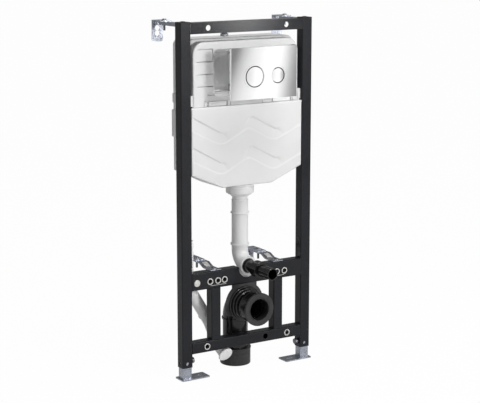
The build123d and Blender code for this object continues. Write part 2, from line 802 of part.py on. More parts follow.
with BuildPart() as waste_seal:
    with BuildSketch(facing_front(0, -socket_front, waste_height)):
        ring(seal_radius, seal_bore)
    extrude(amount=seal_lip)
    with BuildSketch(facing_front(0, -socket_front, waste_height)):
        ring(socket_radius - waste_wall - seat_fit, seal_bore)
    extrude(amount=-seal_length)
keep(waste_seal, "waste_seal")

with BuildPart() as waste_adaptor:
    with BuildSketch(facing_up(0, waste_y, adaptor_low)):
        ring(adaptor_radius, adaptor_radius - adaptor_wall)
    extrude(amount=adaptor_high - adaptor_low)
    with BuildSketch(facing_up(0, waste_y, adaptor_high)):
        ring(adaptor_radius, waste_radius + seat_fit)
    extrude(amount=-adaptor_shoulder)
    with BuildSketch(facing_up(0, waste_y, adaptor_high)):
        ring(adaptor_radius + adaptor_lip, adaptor_radius)
    extrude(amount=-adaptor_lip_height)
keep(waste_adaptor, "waste_adaptor")

with BuildPart() as elbow_holder:
    with BuildSketch(facing_front(0, holder_y + holder_thickness, waste_height)):
        Circle(holder_ring_radius)
        with Locations((0, holder_foot - waste_height - holder_ring_radius)):
            Rectangle(2 * holder_ring_radius, 2 * holder_ring_radius, mode=Mode.SUBTRACT)
        with Locations((0, (fixing_low - waste_height) / 2)):
            Rectangle(2 * holder_neck_half, fixing_low - waste_height)
        Circle(waste_radius + part_gap, mode=Mode.SUBTRACT)
    extrude(amount=holder_thickness)
keep(elbow_holder, "elbow_holder")

# Empty conduit

with BuildPart() as conduit:
    with BuildLine() as conduit_route:
        FilletPolyline([spot(*point) for point in conduit_points], radius=conduit_bends)
    with BuildSketch(facing_up(conduit_points[0][0], conduit_points[0][1], conduit_points[0][2])):
        ring(conduit_radius, conduit_radius - conduit_wall)
    sweep(path=conduit_route.line)
keep(conduit, "conduit")

conduit_end = conduit_route.line @ 1
conduit_end_way = conduit_route.line % 1
with BuildPart() as conduit_cap:
    with BuildSketch(Plane(origin=conduit_end, z_dir=conduit_end_way)):
        Circle(conduit_cap_radius)
    extrude(amount=conduit_cap_length)
    with BuildSketch(Plane(origin=conduit_end, z_dir=conduit_end_way)):
        Circle(conduit_radius - conduit_wall - conduit_play)
    extrude(amount=-2 * conduit_cap_length)
keep(conduit_cap, "conduit_cap")


upper_run, lower_run = conduit_points[1], conduit_points[2]
run_way = (lower_run[0] - upper_run[0], 0, lower_run[2] - upper_run[2])
run_share = (upper_run[2] - lower_clip_height) / (upper_run[2] - lower_run[2])
lower_clip_x = upper_run[0] + run_way[0] * run_share
clip_bore = conduit_radius + conduit_play
clip_reach = upper_run[1] - post_depth
with BuildPart() as conduit_clips:
    for x, height, way in ((upper_run[0], upper_clip_height, (0, 0, 1)),
                           (lower_clip_x, lower_clip_height, run_way)):
        clip_plane = Plane(origin=spot(x, upper_run[1], height), x_dir=(0, 1, 0), z_dir=way)
        with BuildSketch(clip_plane):
            ring(clip_bore + clip_wall, clip_bore)
        extrude(amount=clip_width / 2, both=True)
        with BuildSketch(clip_plane):
            with Locations((-(clip_reach + clip_bore) / 2, 0)):
                Rectangle(clip_reach - clip_bore, clip_width)
            Circle(clip_bore + clip_wall / 2, mode=Mode.SUBTRACT)
        extrude(amount=clip_width / 2, both=True)
keep(conduit_clips, "conduit_clips")

with BuildPart() as side_grips:
    for side in (-1, 1):
        with BuildSketch(facing_up(side * (tank_half_width + side_grip_out / 2),
                                   tank_back + side_grip_back - side_grip_depth / 2,
                                   side_grip_low)):
            Rectangle(side_grip_out, side_grip_depth)
        extrude(amount=side_grip_height)
keep(side_grips, "side_grips")
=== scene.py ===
import bpy
import bmesh
import math
from mathutils import Matrix, Vector


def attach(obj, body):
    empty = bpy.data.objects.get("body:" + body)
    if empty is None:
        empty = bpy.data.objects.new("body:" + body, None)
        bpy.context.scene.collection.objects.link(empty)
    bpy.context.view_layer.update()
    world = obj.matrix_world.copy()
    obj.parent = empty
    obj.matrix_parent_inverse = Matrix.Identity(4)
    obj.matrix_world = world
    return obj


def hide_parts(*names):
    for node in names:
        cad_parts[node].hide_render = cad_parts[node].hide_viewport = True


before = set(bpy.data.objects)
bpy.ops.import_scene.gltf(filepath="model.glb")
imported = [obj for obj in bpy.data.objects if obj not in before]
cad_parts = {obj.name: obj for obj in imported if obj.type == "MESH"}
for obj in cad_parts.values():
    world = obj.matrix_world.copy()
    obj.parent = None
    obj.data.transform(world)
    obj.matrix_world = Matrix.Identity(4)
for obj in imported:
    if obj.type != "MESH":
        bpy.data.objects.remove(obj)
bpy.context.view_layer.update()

# Lengths are in millimetres: x from the middle of the frame, y from the front of the uprights
# towards the wall, z above the floor. at() turns them into the metres of the shared frame. The sizes
# that geometry node trees and shaders take are in metres.
MIDDLE_X, WALL_Y, FLOOR_Z = 231.0, 184.5, 1128.0
MM = 0.001

# Places that several pieces share
SIDES = (-1, 1)
POST_X, STRUT_X = 231.0, 121.5
STUD_Z, FLUSH_Z, WASTE_Z = 321.0, 357.0, 222.0
PIPE_Y = 50.0
BUTTON_Z = 993.0
BUTTONS = FULL_BUTTON, HALF_BUTTON = (-36.5, 32.0), (50.0, 23.4)  # place across and radius
UP, TO_ROOM = (0, 0, 1), (0, -1, 0)


def at(x, y, z):
    return Vector(((x + MIDDLE_X) * MM, (y - WALL_Y) * MM, (z - FLOOR_Z) * MM))


# Finishes

class Value:
    """A shader socket that can be used in sums."""

    def __init__(self, finish, socket):
        self.finish, self.socket = finish, socket

    def math(self, operation, other, swapped=False):
        pair = (other, self) if swapped else (self, other)
        return self.finish.node("ShaderNodeMath", {"operation": operation}, {0: pair[0], 1: pair[1]})

    def __add__(self, other):
        return self.math("ADD", other)

    def __radd__(self, other):
        return self.math("ADD", other, True)

    def __sub__(self, other):
        return self.math("SUBTRACT", other)

    def __rsub__(self, other):
        return self.math("SUBTRACT", other, True)

    def __mul__(self, other):
        return self.math("MULTIPLY", other)

    def __rmul__(self, other):
        return self.math("MULTIPLY", other, True)


class Finish:
    """One material, with its nodes added through node()."""

    def __init__(self, name, colour, metallic=0.0, ior=1.45):
        self.material = bpy.data.materials.new(name)
        self.material.use_nodes = True
        self.tree = self.material.node_tree
        self.surface = self.tree.nodes["Principled BSDF"]
        self.surface.inputs["Base Color"].default_value = (*colour, 1)
        self.surface.inputs["Metallic"].default_value = metallic
        self.surface.inputs["IOR"].default_value = ior
        self.place = self.tree.nodes.new("ShaderNodeTexCoord").outputs["Object"]

    def node(self, kind, settings=None, inputs=None, output=0):
        made = self.tree.nodes.new(kind)
        for key, value in (settings or {}).items():
            if key == "stops":
                ramp = made.color_ramp.elements
                for index, (spot, colour) in enumerate(value):
                    stop = ramp[index] if index < 2 else ramp.new(spot)
                    stop.position, stop.color = spot, (*colour, 1)
            else:
                setattr(made, key, value)
        for key, value in (inputs or {}).items():
            if isinstance(value, Value):
                self.tree.links.new(value.socket, made.inputs[key])
            elif isinstance(value, bpy.types.NodeSocket):
                self.tree.links.new(value, made.inputs[key])
            else:
                made.inputs[key].default_value = value
        return Value(self, made.outputs[output])

    def feed(self, name, value):
        self.tree.links.new(value.socket, self.surface.inputs[name])

    def noise(self, scale, detail=3.0):
        return self.node("ShaderNodeTexNoise", {}, {"Vector": self.place, "Scale": scale, "Detail": detail,
                                                    "Roughness": 0.55})

    def span(self, value, low, high, out_low, out_high):
        return self.node("ShaderNodeMapRange", {}, {0: value, 1: low, 2: high, 3: out_low, 4: out_high})

    def blend(self, share, first, second):
        return self.node("ShaderNodeMix", {"data_type": "RGBA"},
                         {0: share, 6: (*first, 1) if isinstance(first, tuple) else first,
                          7: (*second, 1) if isinstance(second, tuple) else second}, output=2)

    def drift(self, cloud, first, second):
        """A colour that drifts from one to the other with the cloud."""
        return self.blend(self.span(cloud, 0.3, 0.7, 0.0, 1.0), first, second)

    def edges(self, radius):
        """1 near an edge, 0 on flat ground."""
        soft = self.node("ShaderNodeBevel", {"samples": 4}, {"Radius": radius})
        straight = self.tree.nodes.new("ShaderNodeNewGeometry").outputs["Normal"]
        same = self.node("ShaderNodeVectorMath", {"operation": "DOT_PRODUCT"},
                         {0: soft, 1: straight}, output="Value")
        return self.span(same, 0.995, 0.9, 0.0, 1.0)

    def bump(self, height, strength, depth=0.0003):
        return self.node("ShaderNodeBump", {}, {"Height": height, "Strength": strength, "Distance": depth})


def powder_coat(name, ior, rough):
    f = Finish(name, (0.0115, 0.0122, 0.0155), ior=ior)
    cloud, grain = f.noise(9.0), f.noise(1500.0, 2.0)
    ground = f.drift(cloud, (0.0100, 0.0106, 0.0136), (0.0130, 0.0138, 0.0172))
    # The edges are painted lighter: a painted highlight along every edge.
    f.feed("Base Color", f.blend(f.edges(0.0022) * 0.6, ground, (0.062, 0.063, 0.072)))
    f.feed("Roughness", f.span(grain + 0.4 * cloud, 0.5, 0.9, rough, rough + 0.07))
    f.feed("Normal", f.bump(grain, 0.04, 0.0004))
    return f.material


def zinc_coat(name, light):
    f = Finish(name, (0.36 * light, 0.375 * light, 0.42 * light), metallic=1.0)
    flakes = f.node("ShaderNodeTexVoronoi", {}, {"Vector": f.place, "Scale": 260.0}, output="Color")
    flake = f.node("ShaderNodeSeparateColor", {}, {0: flakes})
    cloud = f.noise(30.0, 4.0)
    mottled = flake * 0.35 + cloud * 0.8
    dull, bright = (0.25 * light, 0.265 * light, 0.305 * light), (0.47 * light, 0.49 * light, 0.545 * light)
    f.feed("Base Color", f.blend(f.span(mottled, 0.3, 0.85, 0.0, 1.0), dull, bright))
    f.feed("Roughness", f.span(mottled, 0.2, 0.9, 0.22, 0.38))
    f.feed("Normal", f.bump(mottled, 0.16))
    return f.material


def plated(name, colour, metallic, scale, dull, bright, smoothest, roughest):
    """A small plated piece whose colour and roughness drift together."""
    f = Finish(name, colour, metallic=metallic)
    cloud = f.noise(scale)
    f.feed("Base Color", f.drift(cloud, dull, bright))
    f.feed("Roughness", f.span(cloud, 0.3, 0.7, smoothest, roughest))
    f.feed("Normal", f.bump(cloud, 0.15))
    return f.material


def white_moulding(name, light=1.0, rough=0.42):
    f = Finish(name, (0.8 * light, 0.8 * light, 0.8 * light))
    cloud, grain = f.noise(7.0), f.noise(1100.0, 2.0)
    f.feed("Base Color", f.drift(cloud, (0.775 * light,) * 3, (0.815 * light,) * 3))
    f.feed("Roughness", f.span(cloud + 0.5 * grain, 0.45, 1.0, rough - 0.05, rough + 0.07))
    f.feed("Normal", f.bump(grain, 0.10))
    return f.material


def black_plastic(name, colour, rough):
    f = Finish(name, (colour, colour, colour * 1.03))
    cloud, grain = f.noise(40.0), f.noise(1300.0, 2.0)
    f.feed("Base Color", f.drift(cloud, (colour * 0.85,) * 3, (colour * 1.3,) * 3))
    f.feed("Roughness", f.span(cloud, 0.3, 0.7, rough, rough + 0.09))
    f.feed("Normal", f.bump(grain, 0.12))
    return f.material


def chrome():
    f = Finish("polished_chrome", (0.80, 0.80, 0.81), metallic=1.0)
    cloud = f.noise(30.0)
    f.feed("Base Color", f.drift(cloud, (0.785, 0.785, 0.79), (0.815, 0.815, 0.82)))
    f.feed("Roughness", f.span(cloud, 0.3, 0.7, 0.045, 0.06))
    f.feed("Normal", f.bump(f.noise(60.0, 2.0), 0.02, 0.0001))
    return f.material


PAINT = powder_coat("anthracite_powder_coat", 1.31, 0.25)
RAIL_PAINT = powder_coat("satin_rail_coat", 1.45, 0.11)
ZINC = zinc_coat("galvanised_steel", 1.0)
# The wall plates get a lighter copy of the zinc: painted light that stands in for the brighter reflections
# they show.
PLATE_ZINC = zinc_coat("galvanised_wall_plates", 1.6)
BOLT = plated("dark_zinc_bolts", (0.2, 0.2, 0.22), 1.0, 140.0, (0.09, 0.09, 0.1), (0.30, 0.31, 0.34),
              0.22, 0.4)
RIM = plated("bright_insert_rims", (0.75, 0.74, 0.72), 0.35, 190.0, (0.50, 0.49, 0.47), (0.70, 0.69, 0.67),
             0.3, 0.5)
WHITE = white_moulding("white_moulding")
# The hood's white is darker than the rest: painted shade for the shadow that falls on the hood.
HOOD_WHITE = white_moulding("hood_moulding", 0.91)
FRONT_WHITE = white_moulding("front_moulding", 0.93)
PIPE_WHITE = white_moulding("white_pipe", 0.97, 0.34)
RECESS = white_moulding("recess_moulding", 0.92, 0.5)
# The conduit's white is lighter than the rest: painted light that lifts the conduit out of the shade it
# stands in.
CONDUIT = white_moulding("conduit_moulding", 1.17, 0.4)
# This black also colours the painted shadow sheets on the uprights.
BLACK = black_plastic("glossy_black_plastic_and_shadow_sheets", 0.004, 0.12)
PIPE_BLACK = black_plastic("waste_pipe_plastic", 0.014, 0.09)
HOLDER = black_plastic("elbow_holder_plastic", 0.042, 0.40)
ADAPTOR = black_plastic("adaptor_plastic", 0.022, 0.34)
RUBBER = black_plastic("seal_rubber", 0.020, 0.42)
# This black also colours the rings of painted gap shade round the buttons.
BORE_AND_GAP_SHADE = black_plastic("blackened_thread_and_gap_shade", 0.006, 0.5)
CHROME = chrome()


# Making meshes

def placed(name, data):
    """A new object in the scene."""
    item = bpy.data.objects.new(name, data)
    bpy.context.scene.collection.objects.link(item)
    return item


def settled(piece):
    """The piece's mesh with its modifiers applied."""
    graph = bpy.context.evaluated_depsgraph_get()
    graph.update()
    return bpy.data.meshes.new_from_object(piece.evaluated_get(graph))


def finish_mesh(name, mesh, material, body, *nodes, smooth=35.0):
    """The mesh as a finished piece on its body, in place of the CAD nodes that are named."""
    mesh.materials.clear()
    mesh.materials.append(material)
    mesh.shade_smooth()
    mesh.set_sharp_from_angle(angle=math.radians(smooth))
    piece = placed(name, mesh)
    even = piece.modifiers.new("even", "WEIGHTED_NORMAL")
    even.keep_sharp = True
    piece.data = settled(piece)
    piece.modifiers.clear()
    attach(piece, body)
    if nodes:
        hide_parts(*nodes)
    return piece


def written(name, work, bevel=0.0):
    """The mesh of a working one with its edges rounded. The working one is freed."""
    if bevel:
        bmesh.ops.bevel(work, geom=list(work.edges), offset=bevel * MM, segments=2, profile=0.5,
                        affect="EDGES")
    mesh = bpy.data.meshes.new(name)
    work.to_mesh(mesh)
    work.free()
    return mesh


def closed_up(name, work, bevel=0.0):
    """The mesh of a working one with its faces turned outwards first."""
    bmesh.ops.recalc_face_normals(work, faces=work.faces)
    return written(name, work, bevel)


def cad_copy(node):
    """A working copy of a CAD node's mesh, with its triangles merged into whole faces."""
    work = bmesh.new()
    work.from_mesh(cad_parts[node].data)
    bmesh.ops.remove_doubles(work, verts=work.verts, dist=2e-6)
    bmesh.ops.dissolve_limit(work, angle_limit=math.radians(0.35), verts=work.verts, edges=work.edges)
    return work


def rounded(mesh, width, angle=40, segments=2):
    """The mesh with the edges that are sharper than the angle rounded over."""
    holder = placed("holder", mesh)
    edge = holder.modifiers.new("edge", "BEVEL")
    edge.width, edge.segments, edge.limit_method = width * MM, segments, "ANGLE"
    edge.angle_limit = math.radians(angle)
    done = settled(holder)
    bpy.data.objects.remove(holder)
    return done


def dressed(node, body, material, bevel, segments=2):
    """A CAD solid with its edges rounded over."""
    mesh = rounded(written(node, cad_copy(node)), bevel, segments=segments)
    return finish_mesh(node + "_finished.001", mesh, material, body, node)


def cut(mesh, cutters):
    """The mesh with the cutters taken away from it."""
    holder = placed("holder", mesh)
    tools = []
    for k, cutter in enumerate(cutters):
        tool = placed("tool", cutter)
        step = holder.modifiers.new(f"cut{k}", "BOOLEAN")
        step.object, step.operation, step.solver = tool, "DIFFERENCE", "EXACT"
        tools.append(tool)
    done = settled(holder)
    for item in [holder, *tools]:
        bpy.data.objects.remove(item)
    return done


def joined(name, meshes):
    work = bmesh.new()
    for mesh in meshes:
        work.from_mesh(mesh)
    return written(name, work)


def moved(mesh, matrix):
    copy = mesh.copy()
    copy.transform(matrix)
    return copy


def turned(profile, centre, way, steps=96):
    """A closed mesh turned round the line through centre along way, from (radius, distance) pairs.
    A profile that starts and ends on the line is solid, and any other is a ring."""
    way = Vector(way).normalized()
    side = way.orthogonal().normalized()
    other = way.cross(side)
    work = bmesh.new()
    rings = []
    for radius, along in profile:
        foot = centre + way * along * MM
        turns = [2 * math.pi * k / steps for k in range(steps)] if radius else [0.0]
        rings.append([work.verts.new(foot + (side * math.cos(turn) + other * math.sin(turn)) * radius * MM)
                      for turn in turns])
    pairs = list(zip(rings, rings[1:]))
    if profile[0][0]:
        pairs.append((rings[-1], rings[0]))
    for first, second in pairs:
        for k in range(steps):
            n = (k + 1) % steps
            if len(first) == 1:
                work.faces.new((first[0], second[k], second[n]))
            elif len(second) == 1:
                work.faces.new((first[k], second[0], first[n]))
            else:
                work.faces.new((first[k], second[k], second[n], first[n]))
    return closed_up("turned", work)


def lofted(name, near, far, bevel=0.0):
    """A closed mesh between two outlines that have the same number of corners."""
    work = bmesh.new()
    near = [work.verts.new(spot) for spot in near]
    far = [work.verts.new(spot) for spot in far]
    work.faces.new(near)
    work.faces.new(far[::-1])
    for k in range(len(near)):
        n = (k + 1) % len(near)
        work.faces.new((near[k], far[k], far[n], near[n]))
    return closed_up(name, work, bevel)


def block(x0, y0, z0, x1, y1, z1, bevel=0.6):
    corners = [(x0, z0), (x1, z0), (x1, z1), (x0, z1)]
    return lofted("block", [at(x, y0, z) for x, z in corners], [at(x, y1, z) for x, z in corners], bevel)


def side_slab(outline, x0, x1, bevel=0.0):
    """A flat piece from an outline in y and z, between two planes across x."""
    return lofted("side_slab", [at(x0, y, z) for y, z in outline], [at(x1, y, z) for y, z in outline], bevel)


def hex_block(x, y, z, height, radius=7.5):
    """A hexagon standing on z with its edges rounded."""
    work = bmesh.new()
    corners = [(x + radius * math.cos(math.radians(60 * k)), y + radius * math.sin(math.radians(60 * k)))
               for k in range(6)]
    low = [work.verts.new(at(a, b, z)) for a, b in corners]
    high = [work.verts.new(at(a, b, z + height)) for a, b in corners]
    work.faces.new(low[::-1])
    work.faces.new(high)
    for k in range(6):
        n = (k + 1) % 6
        work.faces.new((low[k], low[n], high[n], high[k]))
    return written("hexagon", work, 0.6)


def sheet_slab(name, columns, rows, front, back_y):
    """A closed slab with a flat back. front(i, j) is the corner in column i and row j of its face."""
    work = bmesh.new()
    grid = [[work.verts.new(front(i, j)) for j in range(rows + 1)] for i in range(columns + 1)]
    for i in range(columns):
        for j in range(rows):
            work.faces.new((grid[i][j], grid[i + 1][j], grid[i + 1][j + 1], grid[i][j + 1]))
    rim = [line[0] for line in grid] + grid[-1][1:] + [line[-1] for line in grid[-2::-1]]
    rim += grid[0][rows - 1:0:-1]
    back = at(0, back_y, 0).y
    rear = [work.verts.new((v.co.x, back, v.co.z)) for v in rim]
    for k in range(len(rim)):
        n = (k + 1) % len(rim)
        work.faces.new((rim[k], rim[n], rear[n], rear[k]))
    work.faces.new(rear)
    return closed_up(name, work)


def round_cornered(half_x, half_z, corner, steps=6):
    """The outline in x and z of a rectangle with round corners."""
    spots = []
    for sx, sz, start in ((1, 1, 0), (-1, 1, 90), (-1, -1, 180), (1, -1, 270)):
        for k in range(steps + 1):
            turn = math.radians(start + 90 * k / steps)
            spots.append((sx * (half_x - corner) + corner * math.cos(turn),
                          sz * (half_z - corner) + corner * math.sin(turn)))
    return spots


# Geometry node trees for what repeats

class Pattern:
    """A geometry node tree with named sizes."""

    def __init__(self, name, sizes):
        self.tree = bpy.data.node_groups.new(name, "GeometryNodeTree")
        self.tree.interface.new_socket("Geometry", in_out="OUTPUT", socket_type="NodeSocketGeometry")
        kinds = {int: "NodeSocketInt", float: "NodeSocketFloat", Vector: "NodeSocketVector"}
        self.sockets = {}
        for label, start in sizes.items():
            socket = self.tree.interface.new_socket(label, in_out="INPUT", socket_type=kinds[type(start)])
            socket.default_value = start
            self.sockets[label] = socket.identifier
        finish = self.tree.interface.new_socket("Finish", in_out="INPUT", socket_type="NodeSocketMaterial")
        self.sockets["Finish"] = finish.identifier
        self.start = self.tree.nodes.new("NodeGroupInput")
        self.end = self.tree.nodes.new("NodeGroupOutput")

    def size(self, label):
        return self.start.outputs[label]

    def node(self, kind, settings=None, inputs=None):
        made = self.tree.nodes.new(kind)
        for key, value in (settings or {}).items():
            setattr(made, key, value)
        for key, value in (inputs or {}).items():
            if isinstance(value, bpy.types.NodeSocket):
                self.tree.links.new(value, made.inputs[key])
            else:
                made.inputs[key].default_value = value
        return made.outputs[0]

    def close(self, shape):
        whole = self.node("GeometryNodeRealizeInstances", {}, {"Geometry": shape})
        coated = self.node("GeometryNodeSetMaterial", {},
                           {"Geometry": whole, "Material": self.size("Finish")})
        self.tree.links.new(coated, self.end.inputs["Geometry"])

    def mesh(self, name, material, **sizes):
        holder = placed(name, bpy.data.meshes.new(name))
        step = holder.modifiers.new("pattern", "NODES")
        step.node_group = self.tree
        for label, value in sizes.items():
            step[self.sockets[label]] = value
        step[self.sockets["Finish"]] = material
        done = settled(holder)
        bpy.data.objects.remove(holder)
        return done


def row_pattern():
    """Bars in a straight row."""
    p = Pattern("row_of_bars", {"Count": 4, "Start": Vector((0, 0, 0)), "Step": Vector((0, 0, 0.04)),
                                "Bar": Vector((0.06, 0.004, 0.002))})
    line = p.node("GeometryNodeMeshLine", {"mode": "OFFSET"},
                  {"Count": p.size("Count"), "Start Location": p.size("Start"), "Offset": p.size("Step")})
    bar = p.node("GeometryNodeMeshCube", {}, {"Size": p.size("Bar")})
    p.close(p.node("GeometryNodeInstanceOnPoints", {}, {"Points": line, "Instance": bar}))
    return p


def ring_pattern():
    """Grips standing round a ring, along local z."""
    p = Pattern("ring_of_grips", {"Count": 12, "Radius": 0.04, "Grip": Vector((0.003, 0.004, 0.02))})
    ring = p.node("GeometryNodeMeshCircle", {}, {"Vertices": p.size("Count"), "Radius": p.size("Radius")})
    grip = p.node("GeometryNodeMeshCube", {}, {"Size": p.size("Grip")})
    outwards = p.node("GeometryNodeInputPosition")
    turn = p.node("FunctionNodeAlignEulerToVector", {"axis": "X"}, {"Vector": outwards})
    p.close(p.node("GeometryNodeInstanceOnPoints", {}, {"Points": ring, "Instance": grip, "Rotation": turn}))
    return p


def thread_pattern():
    """A thread's ridge wound round local z."""
    p = Pattern("thread_ridge", {"Radius": 0.005, "Length": 0.01, "Turns": 6.0, "Wire": 0.0004})
    coil = p.node("GeometryNodeCurveSpiral", {}, {"Resolution": 24, "Rotations": p.size("Turns"),
                                                  "Start Radius": p.size("Radius"),
                                                  "End Radius": p.size("Radius"), "Height": p.size("Length")})
    wire = p.node("GeometryNodeCurvePrimitiveCircle", {}, {"Resolution": 4, "Radius": p.size("Wire")})
    p.close(p.node("GeometryNodeCurveToMesh", {}, {"Curve": coil, "Profile Curve": wire, "Fill Caps": True}))
    return p


ROW, GRIPS, THREAD = row_pattern(), ring_pattern(), thread_pattern()


def thread(place, radius, length, turns, wire):
    """A thread's ridge at a place, with its length along local z. Its sizes are in metres."""
    return moved(THREAD.mesh("thread", BOLT, Radius=radius, Length=length, Turns=turns, Wire=wire), place)


def standing(x, y, z):
    return Matrix.Translation(at(x, y, z))


def facing_room(x, y, z):
    """Local z points out of the wall, towards the room."""
    return Matrix.Translation(at(x, y, z)) @ Matrix.Rotation(math.radians(90), 4, "X")


# Painted steel

def painted_steel():
    for node in ("left_upright", "right_upright", "fixing_rail", "bottom_rail", "left_strut", "right_strut"):
        dressed(node, "frame", PAINT, 0.5)
    dressed("top_rail", "frame", RAIL_PAINT, 1.4, 3)
    dressed("elbow_holder", "frame", HOLDER, 0.8)
    dressed("post_caps", "frame", BLACK, 0.8)
    # The black arch-shaped sheets on the inner faces of the uprights are painted shadow: dark sheets where
    # those faces lie in shade.
    middle_y, foot_z, arch_z, half = 17.0, 354.7, 411.0, 14.0
    arch = [(middle_y + half * math.cos(turn), arch_z + half * math.sin(turn))
            for turn in (math.pi * k / 12 for k in range(13))]
    arch += [(middle_y - half, foot_z), (middle_y + half, foot_z)]
    shadow_sheets, clips = [], []
    for side in SIDES:
        shadow_sheets.append(side_slab(arch, side * 211.2, side * 212.3))
        inner, outer = sorted((side * 207.0, side * 211.6))
        clips.append(block(inner, 0.6, 893.2, outer, 9.6, 897.6, 0.5))
    finish_mesh("upright_side_shadow_sheets", joined("upright_side_shadow_sheets", shadow_sheets), BLACK, "frame")
    finish_mesh("cistern_corner_clips", joined("cistern_corner_clips", clips), BLACK, "frame")


INSERTS = [(side * x, STUD_Z) for side in SIDES for x in (90.0, 115.0, 145.0)]
INSERTS += [(side * 157.0, 103.0) for side in SIDES]


def rail_inserts():
    rim = [(7.6, -0.6), (7.6, 1.1), (8.0, 1.5), (10.4, 1.5), (11.0, 1.0), (11.0, 0.02), (8.9, 0.02),
           (8.9, -0.6)]
    barrel = [(5.6, -3.0), (7.5, -2.6), (7.5, -16.6), (7.1, -17.0), (5.6, -17.0)]
    rims, barrels = [], []
    for x, z in INSERTS:
        rims.append(turned(rim, at(x, 0, z), TO_ROOM, 40))
        barrels.append(turned(barrel, at(x, 0, z), TO_ROOM, 40))
        barrels.append(thread(facing_room(x, 16.8, z), 0.0056, 0.0135, 9.0, 0.00035))
    finish_mesh("insert_rims", joined("insert_rims", rims), RIM, "frame", "threaded_inserts")
    finish_mesh("insert_barrels", joined("insert_barrels", barrels), BORE_AND_GAP_SHADE, "frame")
    lips = [ROW.mesh("lip", RIM, Count=1, Start=at(side * 114.0, -0.4, 307.0), Step=Vector((0, 0, 0)),
                     Bar=Vector((0.060, 0.0009, 0.0012))) for side in SIDES]
    finish_mesh("insert_lips", joined("insert_lips", lips), RIM, "frame")
    plug = [(0, 1.5), (9.4, 1.5), (10.7, 1.1), (11.2, 0.4), (11.2, 0.02), (8.95, 0.02), (8.9, -5.7),
            (8.4, -6.0), (0, -6.0)]
    finish_mesh("rail_plug_turned", turned(plug, at(-194.0, 0, STUD_Z), TO_ROOM, 48), RIM, "frame",
                "rail_plug")


# Zinc coated pieces

def legs_and_feet():
    for word in ("left", "right"):
        dressed(f"{word}_leg", f"{word}_leg", ZINC, 0.7)
    washer = [(0, 0.02), (8.5, 0.02), (8.5, 1.4), (8.0, 1.6), (6.6, 1.7), (6.6, 4.0), (0, 4.0)]
    knob = [(0, 4.0), (8.8, 4.0), (9.4, 4.6), (9.4, 11.4), (8.6, 12.4), (5.0, 12.9), (0, 13.0)]
    tip = [(0, 0.0), (4.0, 0.0), (4.0, -2.0), (3.6, -2.3), (0, -2.3)]
    knobs, washers = [], []
    for side in SIDES:
        inner, way = at(side * 212.0, 18.0, 60.0), Vector((-side, 0, 0))
        washers.append(turned(washer, inner, way, 48))
        knobs.append(turned(knob, inner, way, 48))
        grips = GRIPS.mesh("grips", BOLT, Count=16, Radius=0.0092, Grip=Vector((0.0016, 0.0018, 0.0068)))
        turn = way.to_track_quat("Z", "Y").to_matrix().to_4x4()
        knobs.append(moved(grips, Matrix.Translation(inner + way * 8.0 * MM) @ turn))
        washers.append(turned(tip, inner, way, 32))
    finish_mesh("clamp_knobs", joined("clamp_knobs", knobs), BOLT, "frame", "leg_clamp_bolts")
    finish_mesh("clamp_washers", joined("clamp_washers", washers), ZINC, "frame")


# The upper arms slide under the wall plates, just clear of them.
UPPER_ARM_TOP = 1159.94
# Place in y, and height under the washer
UPPER_BOLT, LOWER_BOLT, FRONT_BOLT = (136.0, 1163.0), (126.0, 371.5), (18.0, 357.5)


def wall_brackets():
    for word in ("left", "right"):
        dressed(f"{word}_upper_wall_plate", "wall_plates", PLATE_ZINC, 0.9)
        dressed(f"{word}_lower_wall_plate", "wall_plates", PLATE_ZINC, 0.9)
        arm = dressed(f"{word}_upper_arm", "frame", ZINC, 0.8)
        for corner in arm.data.vertices:
            corner.co.z = min(corner.co.z, at(0, 0, UPPER_ARM_TOP).z)
        dressed(f"{word}_lower_arm", "frame", ZINC, 0.8)
    washer = [(4.1, 0.02), (8.6, 0.02), (8.9, 0.4), (8.9, 1.1), (8.6, 1.5), (4.1, 1.5)]
    shank = [(0, -31.9), (3.2, -31.9), (3.7, -31.2), (3.7, 1.6), (0, 1.6)]
    short_shank = [(0, -3.0), (4.0, -3.0), (4.0, 1.6), (0, 1.6)]
    bead = [(52.0, 359.0), (70.0, 366.4), (77.5, 368.9), (77.5, 366.0), (72.0, 364.0), (54.0, 356.4)]
    bolts, washers, beads = [], [], []
    for side in SIDES:
        for x, (y, top) in ((side * POST_X, UPPER_BOLT), (side * STRUT_X, LOWER_BOLT)):
            washers.append(turned(washer, at(x, y, top), UP, 48))
            bolts.append(hex_block(x, y, top + 1.5, 4.0))
            bolts.append(hex_block(x, y, top - 12.5, 6.4))
            bolts.append(turned(shank, at(x, y, top), UP, 32))
            bolts.append(thread(standing(x, y, top - 31.2), 0.0037, 0.018, 14.0, 0.0003))
        x, (y, top) = side * STRUT_X, FRONT_BOLT
        washers.append(turned(washer, at(x, y, top), UP, 48))
        bolts.append(hex_block(x, y, top + 1.5, 4.0))
        bolts.append(turned(short_shank, at(x, y, top), UP, 32))
        beads.append(side_slab(bead, x - 9.0, x + 9.0, 0.7))
    finish_mesh("bracket_hexagon_bolts", joined("bracket_hexagon_bolts", bolts), BOLT, "frame",
                "bracket_bolts")
    finish_mesh("bracket_washers", joined("bracket_washers", washers), RIM, "frame")
    finish_mesh("lower_arm_beads", joined("lower_arm_beads", beads), RIM, "frame")


# Cistern

def soft_step(value):
    value = min(max(value, 0.0), 1.0)
    return value * value * (3 - 2 * value)


def smoothed(points, rounds):
    """A line of points with its corners cut off, over and over."""
    for _ in range(rounds):
        cornered = [points[0]]
        for (x0, z0), (x1, z1) in zip(points, points[1:]):
            cornered += [(0.75 * x0 + 0.25 * x1, 0.75 * z0 + 0.25 * z1),
                         (0.25 * x0 + 0.75 * x1, 0.25 * z0 + 0.75 * z1)]
        points = cornered + [points[-1]]
    return points


def height_on(points, x):
    """The height of a line of points at this place."""
    for (x0, z0), (x1, z1) in zip(points, points[1:]):
        if x <= x1:
            return z0 + (z1 - z0) * (x - x0) / (x1 - x0 + 1e-9)
    return points[-1][1]


